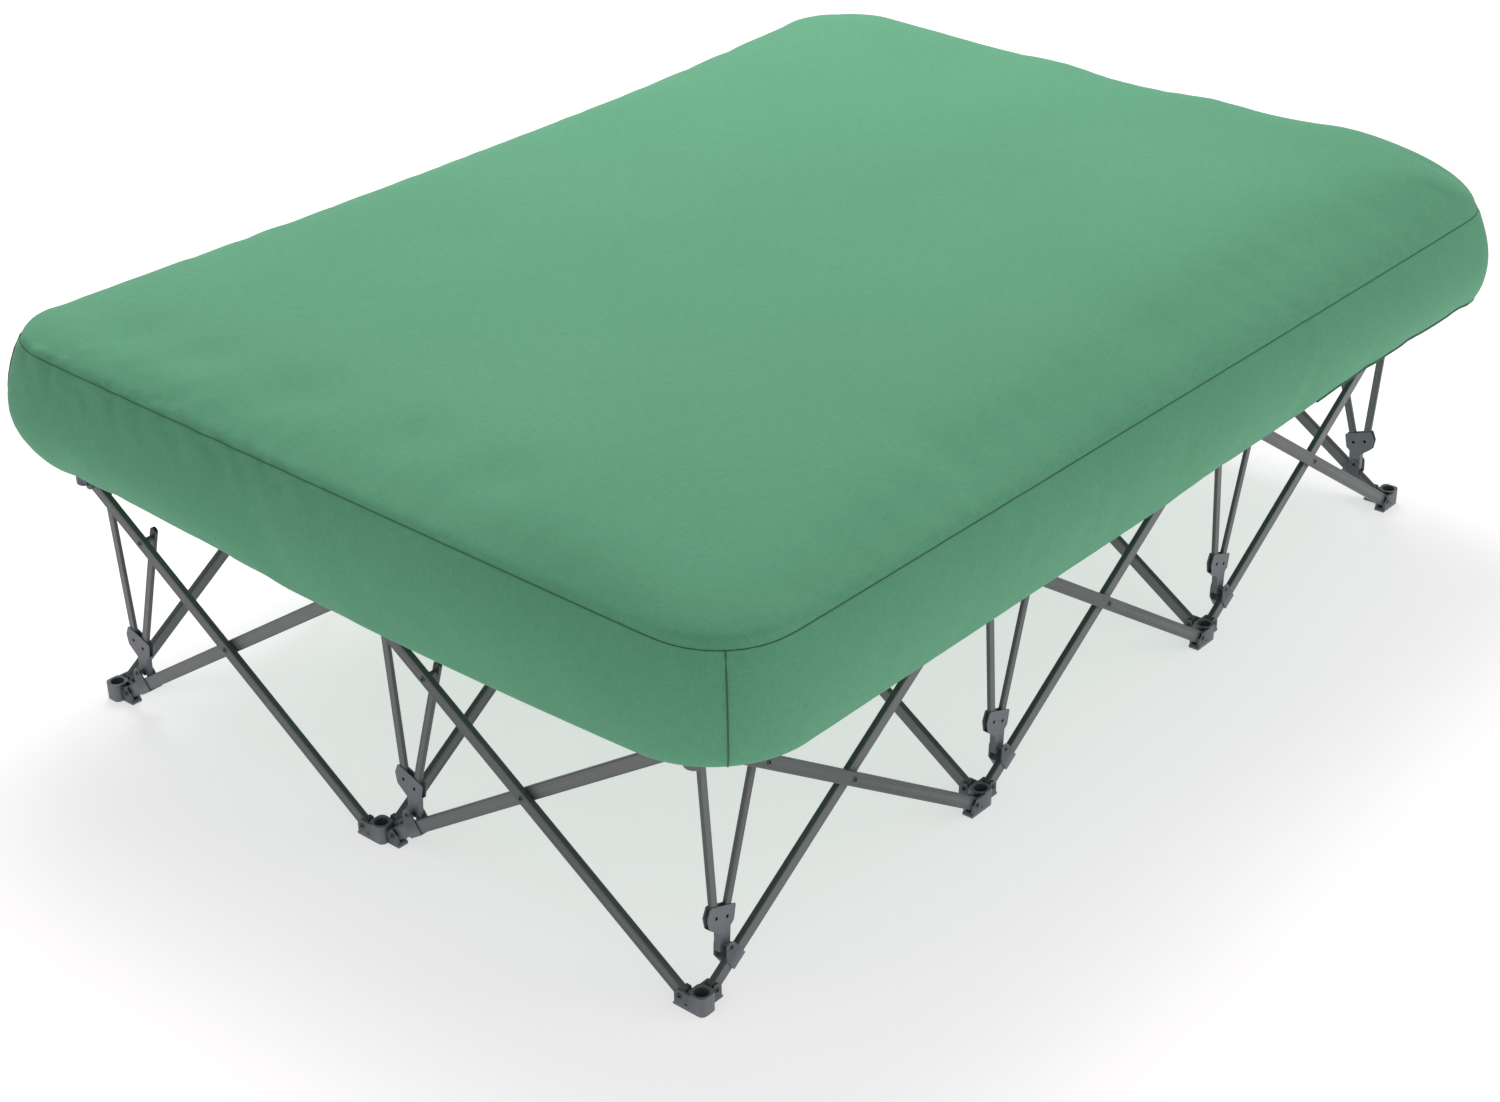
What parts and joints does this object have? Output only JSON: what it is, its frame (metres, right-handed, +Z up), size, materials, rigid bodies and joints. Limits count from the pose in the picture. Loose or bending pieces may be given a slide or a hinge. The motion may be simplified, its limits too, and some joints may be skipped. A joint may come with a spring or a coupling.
{
  "type": "folding cot",
  "caption": "Folding bed: a scissor-grid frame of steel bars and plastic hubs with edge braces, topped by an air mattress in a fitted woven cover.",
  "frame": {"origin": "on the floor under the middle of the bed", "axes": "+X across the bed, +Y along it, +Z up"},
  "size_m": [1.52, 2.09, 0.7],
  "materials": {
    "hub_plastic": "satin moulded",
    "grey_steel": "satin powder coat",
    "green_cover": "close plain weave",
    "air_bag": "satin sheet"
  },
  "bodies": {
    "bar_foot_a1_top_b1": {"bar_foot_a1_top_b1": "grey_steel"},
    "bar_foot_a2_top_a1": {"bar_foot_a2_top_a1": "grey_steel"},
    "bar_foot_a2_top_b2": {"bar_foot_a2_top_b2": "grey_steel"},
    "bar_foot_a3_top_a2": {"bar_foot_a3_top_a2": "grey_steel"},
    "bar_foot_a3_top_b3": {"bar_foot_a3_top_b3": "grey_steel"},
    "bar_foot_a4_top_a3": {"bar_foot_a4_top_a3": "grey_steel"},
    "bar_foot_b1_top_b2": {"bar_foot_b1_top_b2": "grey_steel"},
    "bar_foot_b1_top_c1": {"bar_foot_b1_top_c1": "grey_steel"},
    "bar_foot_b2_top_b3": {"bar_foot_b2_top_b3": "grey_steel"},
    "bar_foot_b2_top_c2": {"bar_foot_b2_top_c2": "grey_steel"},
    "bar_foot_b3_top_b4": {"bar_foot_b3_top_b4": "grey_steel"},
    "bar_foot_b3_top_c3": {"bar_foot_b3_top_c3": "grey_steel"},
    "bar_foot_b4_top_a4": {"bar_foot_b4_top_a4": "grey_steel"},
    "bar_foot_c1_top_c2": {"bar_foot_c1_top_c2": "grey_steel"},
    "bar_foot_c2_top_c3": {"bar_foot_c2_top_c3": "grey_steel"},
    "bar_foot_c3_top_c4": {"bar_foot_c3_top_c4": "grey_steel"},
    "bar_foot_c4_top_b4": {"bar_foot_c4_top_b4": "grey_steel"},
    "bar_top_a1_foot_b1": {"bar_top_a1_foot_b1": "grey_steel"},
    "bar_top_a2_foot_a1": {"bar_top_a2_foot_a1": "grey_steel"},
    "bar_top_a2_foot_b2": {"bar_top_a2_foot_b2": "grey_steel"},
    "bar_top_a3_foot_a2": {"bar_top_a3_foot_a2": "grey_steel"},
    "bar_top_a3_foot_b3": {"bar_top_a3_foot_b3": "grey_steel"},
    "bar_top_a4_foot_a3": {"bar_top_a4_foot_a3": "grey_steel"},
    "bar_top_b1_foot_b2": {"bar_top_b1_foot_b2": "grey_steel"},
    "bar_top_b1_foot_c1": {"bar_top_b1_foot_c1": "grey_steel"},
    "bar_top_b2_foot_b3": {"bar_top_b2_foot_b3": "grey_steel"},
    "bar_top_b2_foot_c2": {"bar_top_b2_foot_c2": "grey_steel"},
    "bar_top_b3_foot_b4": {"bar_top_b3_foot_b4": "grey_steel"},
    "bar_top_b3_foot_c3": {"bar_top_b3_foot_c3": "grey_steel"},
    "bar_top_b4_foot_a4": {"bar_top_b4_foot_a4": "grey_steel"},
    "bar_top_c1_foot_c2": {"bar_top_c1_foot_c2": "grey_steel"},
    "bar_top_c2_foot_c3": {"bar_top_c2_foot_c3": "grey_steel"},
    "bar_top_c3_foot_c4": {"bar_top_c3_foot_c4": "grey_steel"},
    "bar_top_c4_foot_b4": {"bar_top_c4_foot_b4": "grey_steel"},
    "foot_hub_a1": {"foot_hub_a1": "hub_plastic"},
    "foot_hub_a2": {"foot_hub_a2": "hub_plastic"},
    "foot_hub_a3": {"foot_hub_a3": "hub_plastic"},
    "foot_hub_a4": {"foot_hub_a4": "hub_plastic"},
    "foot_hub_b1": {"foot_hub_b1": "hub_plastic"},
    "foot_hub_b2": {"foot_hub_b2": "hub_plastic"},
    "foot_hub_b3": {"foot_hub_b3": "hub_plastic"},
    "foot_hub_b4": {"foot_hub_b4": "hub_plastic"},
    "foot_hub_c1": {"foot_hub_c1": "hub_plastic"},
    "foot_hub_c2": {"foot_hub_c2": "hub_plastic"},
    "foot_hub_c3": {"foot_hub_c3": "hub_plastic"},
    "foot_hub_c4": {"foot_hub_c4": "hub_plastic"},
    "top_hub_a1": {"top_hub_a1": "hub_plastic"},
    "top_hub_a2": {"top_hub_a2": "hub_plastic"},
    "top_hub_a3": {"top_hub_a3": "hub_plastic"},
    "top_hub_a4": {"top_hub_a4": "hub_plastic"},
    "top_hub_b1": {"top_hub_b1": "hub_plastic"},
    "top_hub_b2": {"top_hub_b2": "hub_plastic"},
    "top_hub_b3": {"top_hub_b3": "hub_plastic"},
    "top_hub_b4": {"top_hub_b4": "hub_plastic"},
    "top_hub_c1": {"top_hub_c1": "hub_plastic"},
    "top_hub_c2": {"top_hub_c2": "hub_plastic"},
    "top_hub_c3": {"top_hub_c3": "hub_plastic"},
    "top_hub_c4": {"top_hub_c4": "hub_plastic"},
    "mattress": {"fitted_cover": "green_cover", "air_mattress": "air_bag"}
  },
  "joints": [
    {"name": "fold", "type": "hinge", "parent": "foot_hub_b2", "child": "bar_foot_b2_top_b3", "pos_m": [0, -0.288, 0.018], "axis": [1, 0, 0], "range_deg": [0, 42.5]},
    {"name": "top_hub_b3_at_bar_foot_b2_top_b3", "type": "hinge", "parent": "bar_foot_b2_top_b3", "child": "top_hub_b3", "pos_m": [0, 0.288, 0.402], "axis": [-1, 0, 0], "range_deg": [0, 42.5]},
    {"name": "bar_top_a2_foot_b2_at_foot_hub_b2", "type": "hinge", "parent": "foot_hub_b2", "child": "bar_top_a2_foot_b2", "pos_m": [-0.027, -0.315, 0.018], "axis": [0, 1, 0], "range_deg": [0, 42.5]},
    {"name": "top_hub_a2_at_bar_top_a2_foot_b2", "type": "hinge", "parent": "bar_top_a2_foot_b2", "child": "top_hub_a2", "pos_m": [-0.603, -0.315, 0.402], "axis": [0, -1, 0], "range_deg": [0, 42.5]},
    {"name": "bar_foot_b2_top_c2_at_foot_hub_b2", "type": "hinge", "parent": "foot_hub_b2", "child": "bar_foot_b2_top_c2", "pos_m": [0.027, -0.315, 0.018], "axis": [0, -1, 0], "range_deg": [0, 42.5]},
    {"name": "top_hub_c2_at_bar_foot_b2_top_c2", "type": "hinge", "parent": "bar_foot_b2_top_c2", "child": "top_hub_c2", "pos_m": [0.603, -0.315, 0.402], "axis": [0, 1, 0], "range_deg": [0, 42.5]},
    {"name": "bar_top_b1_foot_b2_at_foot_hub_b2", "type": "hinge", "parent": "foot_hub_b2", "child": "bar_top_b1_foot_b2", "pos_m": [0, -0.342, 0.018], "axis": [-1, 0, 0], "range_deg": [0, 42.5]},
    {"name": "top_hub_b1_at_bar_top_b1_foot_b2", "type": "hinge", "parent": "bar_top_b1_foot_b2", "child": "top_hub_b1", "pos_m": [0, -0.918, 0.402], "axis": [1, 0, 0], "range_deg": [0, 42.5]},
    {"name": "bar_foot_a3_top_b3_at_top_hub_b3", "type": "hinge", "parent": "top_hub_b3", "child": "bar_foot_a3_top_b3", "pos_m": [-0.027, 0.315, 0.402], "axis": [0, -1, 0], "range_deg": [0, 42.5]},
    {"name": "foot_hub_a3_at_bar_foot_a3_top_b3", "type": "hinge", "parent": "bar_foot_a3_top_b3", "child": "foot_hub_a3", "pos_m": [-0.603, 0.315, 0.018], "axis": [0, 1, 0], "range_deg": [0, 42.5]},
    {"name": "bar_top_b3_foot_c3_at_top_hub_b3", "type": "hinge", "parent": "top_hub_b3", "child": "bar_top_b3_foot_c3", "pos_m": [0.027, 0.315, 0.402], "axis": [0, 1, 0], "range_deg": [0, 42.5]},
    {"name": "foot_hub_c3_at_bar_top_b3_foot_c3", "type": "hinge", "parent": "bar_top_b3_foot_c3", "child": "foot_hub_c3", "pos_m": [0.603, 0.315, 0.018], "axis": [0, -1, 0], "range_deg": [0, 42.5]},
    {"name": "bar_top_b3_foot_b4_at_top_hub_b3", "type": "hinge", "parent": "top_hub_b3", "child": "bar_top_b3_foot_b4", "pos_m": [0, 0.342, 0.402], "axis": [-1, 0, 0], "range_deg": [0, 42.5]},
    {"name": "foot_hub_b4_at_bar_top_b3_foot_b4", "type": "hinge", "parent": "bar_top_b3_foot_b4", "child": "foot_hub_b4", "pos_m": [0, 0.918, 0.018], "axis": [1, 0, 0], "range_deg": [0, 42.5]},
    {"name": "bar_top_a2_foot_a1_at_top_hub_a2", "type": "hinge", "parent": "top_hub_a2", "child": "bar_top_a2_foot_a1", "pos_m": [-0.63, -0.342, 0.402], "axis": [1, 0, 0], "range_deg": [0, 42.5]},
    {"name": "foot_hub_a1_at_bar_top_a2_foot_a1", "type": "hinge", "parent": "bar_top_a2_foot_a1", "child": "foot_hub_a1", "pos_m": [-0.63, -0.918, 0.018], "axis": [-1, 0, 0], "range_deg": [0, 42.5]},
    {"name": "bar_foot_c1_top_c2_at_top_hub_c2", "type": "hinge", "parent": "top_hub_c2", "child": "bar_foot_c1_top_c2", "pos_m": [0.63, -0.342, 0.402], "axis": [1, 0, 0], "range_deg": [0, 42.5]},
    {"name": "foot_hub_c1_at_bar_foot_c1_top_c2", "type": "hinge", "parent": "bar_foot_c1_top_c2", "child": "foot_hub_c1", "pos_m": [0.63, -0.918, 0.018], "axis": [-1, 0, 0], "range_deg": [0, 42.5]},
    {"name": "bar_top_a4_foot_a3_at_foot_hub_a3", "type": "hinge", "parent": "foot_hub_a3", "child": "bar_top_a4_foot_a3", "pos_m": [-0.63, 0.342, 0.018], "axis": [1, 0, 0], "range_deg": [0, 42.5]},
    {"name": "top_hub_a4_at_bar_top_a4_foot_a3", "type": "hinge", "parent": "bar_top_a4_foot_a3", "child": "top_hub_a4", "pos_m": [-0.63, 0.918, 0.402], "axis": [-1, 0, 0], "range_deg": [0, 42.5]},
    {"name": "bar_foot_c3_top_c4_at_foot_hub_c3", "type": "hinge", "parent": "foot_hub_c3", "child": "bar_foot_c3_top_c4", "pos_m": [0.63, 0.342, 0.018], "axis": [1, 0, 0], "range_deg": [0, 42.5]},
    {"name": "top_hub_c4_at_bar_foot_c3_top_c4", "type": "hinge", "parent": "bar_foot_c3_top_c4", "child": "top_hub_c4", "pos_m": [0.63, 0.918, 0.402], "axis": [-1, 0, 0], "range_deg": [0, 42.5]},
    {"name": "crossing_b2_b3", "type": "hinge", "parent": "bar_foot_b2_top_b3", "child": "bar_top_b2_foot_b3", "pos_m": [0, 0, 0.21], "axis": [-1, 0, 0], "range_deg": [0, 85]},
    {"name": "top_hub_b2_at_bar_top_b2_foot_b3", "type": "hinge", "parent": "bar_top_b2_foot_b3", "child": "top_hub_b2", "pos_m": [0, -0.288, 0.402], "axis": [1, 0, 0], "range_deg": [0, 42.5]},
    {"name": "foot_hub_b3_at_bar_top_b2_foot_b3", "type": "hinge", "parent": "bar_top_b2_foot_b3", "child": "foot_hub_b3", "pos_m": [0, 0.288, 0.018], "axis": [1, 0, 0], "range_deg": [0, 42.5]},
    {"name": "bar_foot_a2_top_b2_at_top_hub_b2", "type": "hinge", "parent": "top_hub_b2", "child": "bar_foot_a2_top_b2", "pos_m": [-0.027, -0.315, 0.402], "axis": [0, -1, 0], "range_deg": [0, 42.5]},
    {"name": "foot_hub_a2_at_bar_foot_a2_top_b2", "type": "hinge", "parent": "bar_foot_a2_top_b2", "child": "foot_hub_a2", "pos_m": [-0.603, -0.315, 0.018], "axis": [0, 1, 0], "range_deg": [0, 42.5]},
    {"name": "bar_top_b2_foot_c2_at_top_hub_b2", "type": "hinge", "parent": "top_hub_b2", "child": "bar_top_b2_foot_c2", "pos_m": [0.027, -0.315, 0.402], "axis": [0, 1, 0], "range_deg": [0, 42.5]},
    {"name": "foot_hub_c2_at_bar_top_b2_foot_c2", "type": "hinge", "parent": "bar_top_b2_foot_c2", "child": "foot_hub_c2", "pos_m": [0.603, -0.315, 0.018], "axis": [0, -1, 0], "range_deg": [0, 42.5]},
    {"name": "bar_foot_b1_top_b2_at_top_hub_b2", "type": "hinge", "parent": "top_hub_b2", "child": "bar_foot_b1_top_b2", "pos_m": [0, -0.342, 0.402], "axis": [1, 0, 0], "range_deg": [0, 42.5]},
    {"name": "foot_hub_b1_at_bar_foot_b1_top_b2", "type": "hinge", "parent": "bar_foot_b1_top_b2", "child": "foot_hub_b1", "pos_m": [0, -0.918, 0.018], "axis": [-1, 0, 0], "range_deg": [0, 42.5]},
    {"name": "bar_top_a3_foot_b3_at_foot_hub_b3", "type": "hinge", "parent": "foot_hub_b3", "child": "bar_top_a3_foot_b3", "pos_m": [-0.027, 0.315, 0.018], "axis": [0, 1, 0], "range_deg": [0, 42.5]},
    {"name": "top_hub_a3_at_bar_top_a3_foot_b3", "type": "hinge", "parent": "bar_top_a3_foot_b3", "child": "top_hub_a3", "pos_m": [-0.603, 0.315, 0.402], "axis": [0, -1, 0], "range_deg": [0, 42.5]},
    {"name": "bar_foot_b3_top_c3_at_foot_hub_b3", "type": "hinge", "parent": "foot_hub_b3", "child": "bar_foot_b3_top_c3", "pos_m": [0.027, 0.315, 0.018], "axis": [0, -1, 0], "range_deg": [0, 42.5]},
    {"name": "top_hub_c3_at_bar_foot_b3_top_c3", "type": "hinge", "parent": "bar_foot_b3_top_c3", "child": "top_hub_c3", "pos_m": [0.603, 0.315, 0.402], "axis": [0, 1, 0], "range_deg": [0, 42.5]},
    {"name": "bar_foot_b3_top_b4_at_foot_hub_b3", "type": "hinge", "parent": "foot_hub_b3", "child": "bar_foot_b3_top_b4", "pos_m": [0, 0.342, 0.018], "axis": [1, 0, 0], "range_deg": [0, 42.5]},
    {"name": "top_hub_b4_at_bar_foot_b3_top_b4", "type": "hinge", "parent": "bar_foot_b3_top_b4", "child": "top_hub_b4", "pos_m": [0, 0.918, 0.402], "axis": [-1, 0, 0], "range_deg": [0, 42.5]},
    {"name": "bar_foot_a2_top_a1_at_foot_hub_a2", "type": "hinge", "parent": "foot_hub_a2", "child": "bar_foot_a2_top_a1", "pos_m": [-0.63, -0.342, 0.018], "axis": [-1, 0, 0], "range_deg": [0, 42.5]},
    {"name": "top_hub_a1_at_bar_foot_a2_top_a1", "type": "hinge", "parent": "bar_foot_a2_top_a1", "child": "top_hub_a1", "pos_m": [-0.63, -0.918, 0.402], "axis": [1, 0, 0], "range_deg": [0, 42.5]},
    {"name": "bar_top_c1_foot_c2_at_foot_hub_c2", "type": "hinge", "parent": "foot_hub_c2", "child": "bar_top_c1_foot_c2", "pos_m": [0.63, -0.342, 0.018], "axis": [-1, 0, 0], "range_deg": [0, 42.5]},
    {"name": "top_hub_c1_at_bar_top_c1_foot_c2", "type": "hinge", "parent": "bar_top_c1_foot_c2", "child": "top_hub_c1", "pos_m": [0.63, -0.918, 0.402], "axis": [1, 0, 0], "range_deg": [0, 42.5]},
    {"name": "bar_foot_a4_top_a3_at_top_hub_a3", "type": "hinge", "parent": "top_hub_a3", "child": "bar_foot_a4_top_a3", "pos_m": [-0.63, 0.342, 0.402], "axis": [-1, 0, 0], "range_deg": [0, 42.5]},
    {"name": "foot_hub_a4_at_bar_foot_a4_top_a3", "type": "hinge", "parent": "bar_foot_a4_top_a3", "child": "foot_hub_a4", "pos_m": [-0.63, 0.918, 0.018], "axis": [1, 0, 0], "range_deg": [0, 42.5]},
    {"name": "bar_top_c3_foot_c4_at_top_hub_c3", "type": "hinge", "parent": "top_hub_c3", "child": "bar_top_c3_foot_c4", "pos_m": [0.63, 0.342, 0.402], "axis": [-1, 0, 0], "range_deg": [0, 42.5]},
    {"name": "foot_hub_c4_at_bar_top_c3_foot_c4", "type": "hinge", "parent": "bar_top_c3_foot_c4", "child": "foot_hub_c4", "pos_m": [0.63, 0.918, 0.018], "axis": [1, 0, 0], "range_deg": [0, 42.5]},
    {"name": "bar_top_a1_foot_b1_at_top_hub_a1", "type": "hinge", "parent": "top_hub_a1", "child": "bar_top_a1_foot_b1", "pos_m": [-0.603, -0.945, 0.402], "axis": [0, 1, 0], "range_deg": [0, 42.5]},
    {"name": "bar_foot_a1_top_b1_at_top_hub_b1", "type": "hinge", "parent": "top_hub_b1", "child": "bar_foot_a1_top_b1", "pos_m": [-0.027, -0.945, 0.402], "axis": [0, -1, 0], "range_deg": [0, 42.5]},
    {"name": "bar_top_b1_foot_c1_at_top_hub_b1", "type": "hinge", "parent": "top_hub_b1", "child": "bar_top_b1_foot_c1", "pos_m": [0.027, -0.945, 0.402], "axis": [0, 1, 0], "range_deg": [0, 42.5]},
    {"name": "bar_foot_b1_top_c1_at_top_hub_c1", "type": "hinge", "parent": "top_hub_c1", "child": "bar_foot_b1_top_c1", "pos_m": [0.603, -0.945, 0.402], "axis": [0, -1, 0], "range_deg": [0, 42.5]},
    {"name": "bar_top_c2_foot_c3_at_top_hub_c2", "type": "hinge", "parent": "top_hub_c2", "child": "bar_top_c2_foot_c3", "pos_m": [0.63, -0.288, 0.402], "axis": [-1, 0, 0], "range_deg": [0, 42.5]},
    {"name": "bar_foot_c2_top_c3_at_top_hub_c3", "type": "hinge", "parent": "top_hub_c3", "child": "bar_foot_c2_top_c3", "pos_m": [0.63, 0.288, 0.402], "axis": [1, 0, 0], "range_deg": [0, 42.5]},
    {"name": "bar_top_c4_foot_b4_at_top_hub_c4", "type": "hinge", "parent": "top_hub_c4", "child": "bar_top_c4_foot_b4", "pos_m": [0.603, 0.945, 0.402], "axis": [0, -1, 0], "range_deg": [0, 42.5]},
    {"name": "bar_foot_c4_top_b4_at_top_hub_b4", "type": "hinge", "parent": "top_hub_b4", "child": "bar_foot_c4_top_b4", "pos_m": [0.027, 0.945, 0.402], "axis": [0, 1, 0], "range_deg": [0, 42.5]},
    {"name": "bar_top_b4_foot_a4_at_top_hub_b4", "type": "hinge", "parent": "top_hub_b4", "child": "bar_top_b4_foot_a4", "pos_m": [-0.027, 0.945, 0.402], "axis": [0, -1, 0], "range_deg": [0, 42.5]},
    {"name": "bar_foot_b4_top_a4_at_top_hub_a4", "type": "hinge", "parent": "top_hub_a4", "child": "bar_foot_b4_top_a4", "pos_m": [-0.603, 0.945, 0.402], "axis": [0, 1, 0], "range_deg": [0, 42.5]},
    {"name": "bar_top_a3_foot_a2_at_top_hub_a3", "type": "hinge", "parent": "top_hub_a3", "child": "bar_top_a3_foot_a2", "pos_m": [-0.63, 0.288, 0.402], "axis": [1, 0, 0], "range_deg": [0, 42.5]},
    {"name": "bar_foot_a3_top_a2_at_top_hub_a2", "type": "hinge", "parent": "top_hub_a2", "child": "bar_foot_a3_top_a2", "pos_m": [-0.63, -0.288, 0.402], "axis": [-1, 0, 0], "range_deg": [0, 42.5]},
    {"name": "mattress_lift", "type": "slide", "parent": "top_hub_b3", "child": "mattress", "axis": [0, 0, 1], "range_m": [0, 0.32]}
  ],
  "couplings": [
    {"joint": "top_hub_b3_at_bar_foot_b2_top_b3", "follows": "fold", "ratio": 1},
    {"joint": "bar_top_a2_foot_b2_at_foot_hub_b2", "follows": "fold", "ratio": 1},
    {"joint": "top_hub_a2_at_bar_top_a2_foot_b2", "follows": "fold", "ratio": 1},
    {"joint": "bar_foot_b2_top_c2_at_foot_hub_b2", "follows": "fold", "ratio": 1},
    {"joint": "top_hub_c2_at_bar_foot_b2_top_c2", "follows": "fold", "ratio": 1},
    {"joint": "bar_top_b1_foot_b2_at_foot_hub_b2", "follows": "fold", "ratio": 1},
    {"joint": "top_hub_b1_at_bar_top_b1_foot_b2", "follows": "fold", "ratio": 1},
    {"joint": "bar_foot_a3_top_b3_at_top_hub_b3", "follows": "fold", "ratio": 1},
    {"joint": "foot_hub_a3_at_bar_foot_a3_top_b3", "follows": "fold", "ratio": 1},
    {"joint": "bar_top_b3_foot_c3_at_top_hub_b3", "follows": "fold", "ratio": 1},
    {"joint": "foot_hub_c3_at_bar_top_b3_foot_c3", "follows": "fold", "ratio": 1},
    {"joint": "bar_top_b3_foot_b4_at_top_hub_b3", "follows": "fold", "ratio": 1},
    {"joint": "foot_hub_b4_at_bar_top_b3_foot_b4", "follows": "fold", "ratio": 1},
    {"joint": "bar_top_a2_foot_a1_at_top_hub_a2", "follows": "fold", "ratio": 1},
    {"joint": "foot_hub_a1_at_bar_top_a2_foot_a1", "follows": "fold", "ratio": 1},
    {"joint": "bar_foot_c1_top_c2_at_top_hub_c2", "follows": "fold", "ratio": 1},
    {"joint": "foot_hub_c1_at_bar_foot_c1_top_c2", "follows": "fold", "ratio": 1},
    {"joint": "bar_top_a4_foot_a3_at_foot_hub_a3", "follows": "fold", "ratio": 1},
    {"joint": "top_hub_a4_at_bar_top_a4_foot_a3", "follows": "fold", "ratio": 1},
    {"joint": "bar_foot_c3_top_c4_at_foot_hub_c3", "follows": "fold", "ratio": 1},
    {"joint": "top_hub_c4_at_bar_foot_c3_top_c4", "follows": "fold", "ratio": 1},
    {"joint": "crossing_b2_b3", "follows": "fold", "ratio": 2},
    {"joint": "top_hub_b2_at_bar_top_b2_foot_b3", "follows": "fold", "ratio": 1},
    {"joint": "foot_hub_b3_at_bar_top_b2_foot_b3", "follows": "fold", "ratio": 1},
    {"joint": "bar_foot_a2_top_b2_at_top_hub_b2", "follows": "fold", "ratio": 1},
    {"joint": "foot_hub_a2_at_bar_foot_a2_top_b2", "follows": "fold", "ratio": 1},
    {"joint": "bar_top_b2_foot_c2_at_top_hub_b2", "follows": "fold", "ratio": 1},
    {"joint": "foot_hub_c2_at_bar_top_b2_foot_c2", "follows": "fold", "ratio": 1},
    {"joint": "bar_foot_b1_top_b2_at_top_hub_b2", "follows": "fold", "ratio": 1},
    {"joint": "foot_hub_b1_at_bar_foot_b1_top_b2", "follows": "fold", "ratio": 1},
    {"joint": "bar_top_a3_foot_b3_at_foot_hub_b3", "follows": "fold", "ratio": 1},
    {"joint": "top_hub_a3_at_bar_top_a3_foot_b3", "follows": "fold", "ratio": 1},
    {"joint": "bar_foot_b3_top_c3_at_foot_hub_b3", "follows": "fold", "ratio": 1},
    {"joint": "top_hub_c3_at_bar_foot_b3_top_c3", "follows": "fold", "ratio": 1},
    {"joint": "bar_foot_b3_top_b4_at_foot_hub_b3", "follows": "fold", "ratio": 1},
    {"joint": "top_hub_b4_at_bar_foot_b3_top_b4", "follows": "fold", "ratio": 1},
    {"joint": "bar_foot_a2_top_a1_at_foot_hub_a2", "follows": "fold", "ratio": 1},
    {"joint": "top_hub_a1_at_bar_foot_a2_top_a1", "follows": "fold", "ratio": 1},
    {"joint": "bar_top_c1_foot_c2_at_foot_hub_c2", "follows": "fold", "ratio": 1},
    {"joint": "top_hub_c1_at_bar_top_c1_foot_c2", "follows": "fold", "ratio": 1},
    {"joint": "bar_foot_a4_top_a3_at_top_hub_a3", "follows": "fold", "ratio": 1},
    {"joint": "foot_hub_a4_at_bar_foot_a4_top_a3", "follows": "fold", "ratio": 1},
    {"joint": "bar_top_c3_foot_c4_at_top_hub_c3", "follows": "fold", "ratio": 1},
    {"joint": "foot_hub_c4_at_bar_top_c3_foot_c4", "follows": "fold", "ratio": 1},
    {"joint": "bar_top_a1_foot_b1_at_top_hub_a1", "follows": "fold", "ratio": 1},
    {"joint": "bar_foot_a1_top_b1_at_top_hub_b1", "follows": "fold", "ratio": 1},
    {"joint": "bar_top_b1_foot_c1_at_top_hub_b1", "follows": "fold", "ratio": 1},
    {"joint": "bar_foot_b1_top_c1_at_top_hub_c1", "follows": "fold", "ratio": 1},
    {"joint": "bar_top_c2_foot_c3_at_top_hub_c2", "follows": "fold", "ratio": 1},
    {"joint": "bar_foot_c2_top_c3_at_top_hub_c3", "follows": "fold", "ratio": 1},
    {"joint": "bar_top_c4_foot_b4_at_top_hub_c4", "follows": "fold", "ratio": 1},
    {"joint": "bar_foot_c4_top_b4_at_top_hub_b4", "follows": "fold", "ratio": 1},
    {"joint": "bar_top_b4_foot_a4_at_top_hub_b4", "follows": "fold", "ratio": 1},
    {"joint": "bar_foot_b4_top_a4_at_top_hub_a4", "follows": "fold", "ratio": 1},
    {"joint": "bar_top_a3_foot_a2_at_top_hub_a3", "follows": "fold", "ratio": 1},
    {"joint": "bar_foot_a3_top_a2_at_top_hub_a2", "follows": "fold", "ratio": 1}
  ]
}
